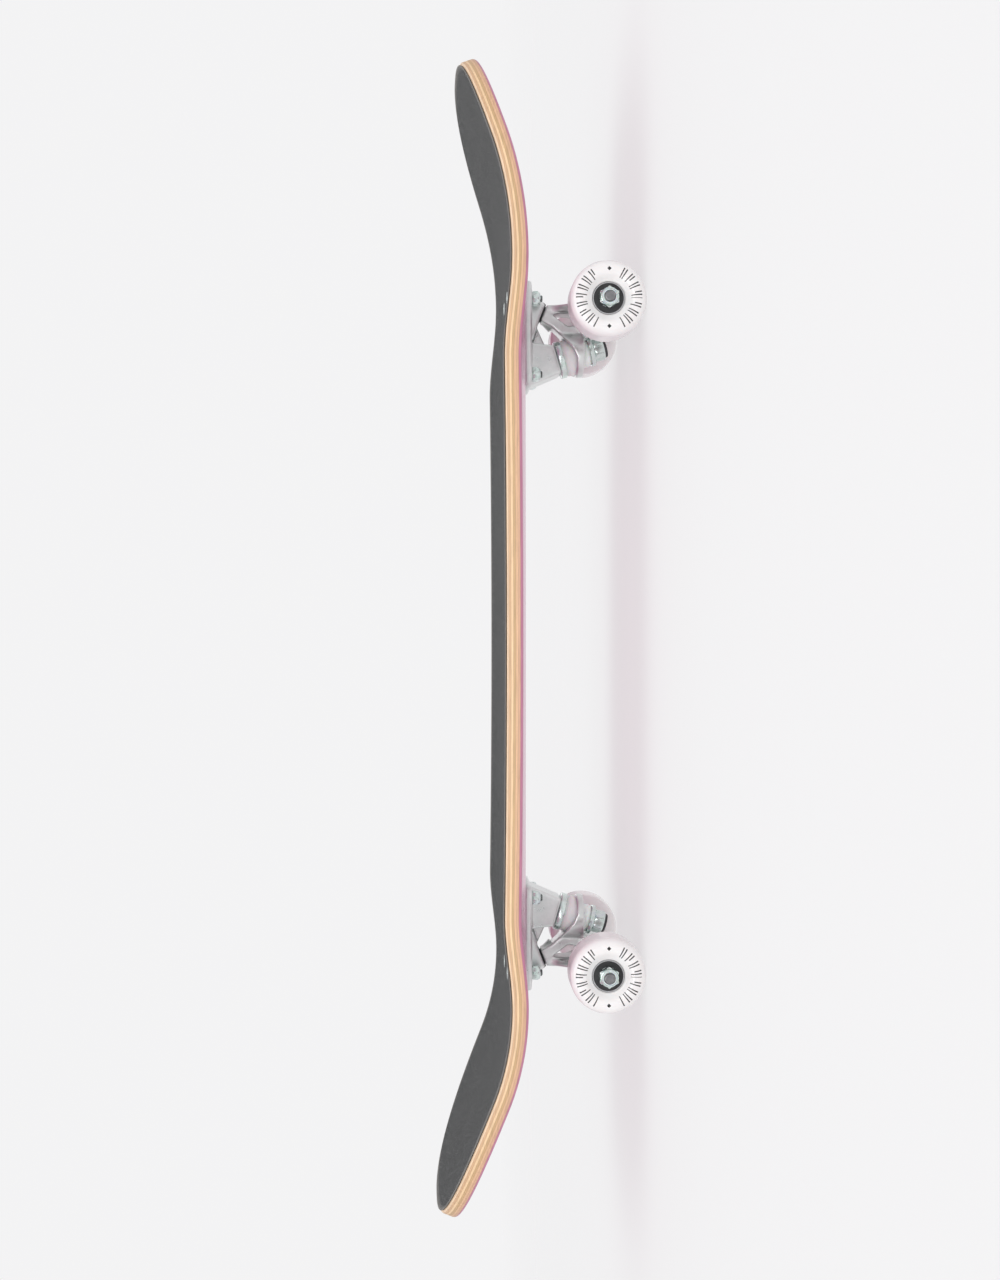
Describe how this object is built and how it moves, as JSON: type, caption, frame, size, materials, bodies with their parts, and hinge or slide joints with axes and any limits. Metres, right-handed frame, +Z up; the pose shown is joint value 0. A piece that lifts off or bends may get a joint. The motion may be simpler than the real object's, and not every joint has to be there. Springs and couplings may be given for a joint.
{
  "type": "skateboard",
  "caption": "Street skateboard: concave laminated deck with two kicks and grip tape, two cast trucks that steer on bushings, and urethane wheels on sealed bearings",
  "frame": {"origin": "on the ground under the middle of the deck, where the wheels stand", "axes": "+X towards the nose, +Y to the rider's left when facing the nose, +Z up"},
  "size_m": [0.8183, 0.216, 0.1406],
  "materials": {
    "maple": "clear lacquered hard maple, the lowest ply dyed pink",
    "grit": "black silicon carbide grit on an adhesive sheet",
    "cast_aluminium": "tumbled silver casting",
    "zinc_plate": "bright zinc plated steel, faint green cast",
    "axle_steel": "plain ground steel",
    "black_steel": "blackened steel",
    "bearing": "black rubber seal between steel rings",
    "bushing_urethane": "cloudy white urethane",
    "pivot_cup_urethane": "dark urethane",
    "wheel_urethane": "glossy white urethane with a black printed ring of plain strokes"
  },
  "bodies": {
    "board": {"deck": "maple", "grip_tape": "grit", "front_baseplate": "cast_aluminium", "front_pivot_cup": "pivot_cup_urethane", "front_kingpin": "zinc_plate", "front_lower_washer": "zinc_plate", "front_lower_bushing": "bushing_urethane", "front_upper_bushing": "bushing_urethane", "front_upper_washer": "zinc_plate", "front_kingpin_nut": "zinc_plate", "front_outer_left_bolt": "black_steel", "front_outer_left_lock_nut": "zinc_plate", "front_outer_right_bolt": "black_steel", "front_outer_right_lock_nut": "zinc_plate", "front_inner_left_bolt": "black_steel", "front_inner_left_lock_nut": "zinc_plate", "front_inner_right_bolt": "black_steel", "front_inner_right_lock_nut": "zinc_plate", "rear_baseplate": "cast_aluminium", "rear_pivot_cup": "pivot_cup_urethane", "rear_kingpin": "zinc_plate", "rear_lower_washer": "zinc_plate", "rear_lower_bushing": "bushing_urethane", "rear_upper_bushing": "bushing_urethane", "rear_upper_washer": "zinc_plate", "rear_kingpin_nut": "zinc_plate", "rear_outer_left_bolt": "black_steel", "rear_outer_left_lock_nut": "zinc_plate", "rear_outer_right_bolt": "black_steel", "rear_outer_right_lock_nut": "zinc_plate", "rear_inner_left_bolt": "black_steel", "rear_inner_left_lock_nut": "zinc_plate", "rear_inner_right_bolt": "black_steel", "rear_inner_right_lock_nut": "zinc_plate"},
    "front_steering": {"front_hanger": "cast_aluminium", "front_axle": "axle_steel", "front_left_axle_washer": "zinc_plate", "front_left_axle_nut": "zinc_plate", "front_right_axle_washer": "zinc_plate", "front_right_axle_nut": "zinc_plate"},
    "front_left_rolling": {"front_left_wheel": "wheel_urethane", "front_left_outer_bearing": "bearing", "front_left_inner_bearing": "bearing"},
    "front_right_rolling": {"front_right_wheel": "wheel_urethane", "front_right_outer_bearing": "bearing", "front_right_inner_bearing": "bearing"},
    "rear_steering": {"rear_hanger": "cast_aluminium", "rear_axle": "axle_steel", "rear_left_axle_washer": "zinc_plate", "rear_left_axle_nut": "zinc_plate", "rear_right_axle_washer": "zinc_plate", "rear_right_axle_nut": "zinc_plate"},
    "rear_left_rolling": {"rear_left_wheel": "wheel_urethane", "rear_left_outer_bearing": "bearing", "rear_left_inner_bearing": "bearing"},
    "rear_right_rolling": {"rear_right_wheel": "wheel_urethane", "rear_right_outer_bearing": "bearing", "rear_right_inner_bearing": "bearing"}
  },
  "joints": [
    {"name": "front_steer", "type": "hinge", "parent": "board", "child": "front_steering", "pos_m": [0.20211, 0, 0.03654], "axis": [-0.734, 0, -0.6791], "range_deg": [-12, 12], "stiffness_Nm_per_rad": 80, "deforming": ["front_lower_bushing", "front_upper_bushing"]},
    {"name": "rear_steer", "type": "hinge", "parent": "board", "child": "rear_steering", "pos_m": [-0.20711, 0, 0.03654], "axis": [0.734, 0, -0.6791], "range_deg": [-12, 12], "stiffness_Nm_per_rad": 80, "deforming": ["rear_lower_bushing", "rear_upper_bushing"]},
    {"name": "front_left_wheel_spin", "type": "hinge", "parent": "front_steering", "child": "front_left_rolling", "pos_m": [0.22501, 0.0861, 0.02584], "axis": [0, 1, 0], "continuous": true},
    {"name": "front_right_wheel_spin", "type": "hinge", "parent": "front_steering", "child": "front_right_rolling", "pos_m": [0.22501, -0.0861, 0.02584], "axis": [0, 1, 0], "continuous": true},
    {"name": "rear_left_wheel_spin", "type": "hinge", "parent": "rear_steering", "child": "rear_left_rolling", "pos_m": [-0.23001, 0.0861, 0.02584], "axis": [0, 1, 0], "continuous": true},
    {"name": "rear_right_wheel_spin", "type": "hinge", "parent": "rear_steering", "child": "rear_right_rolling", "pos_m": [-0.23001, -0.0861, 0.02584], "axis": [0, 1, 0], "continuous": true}
  ]
}
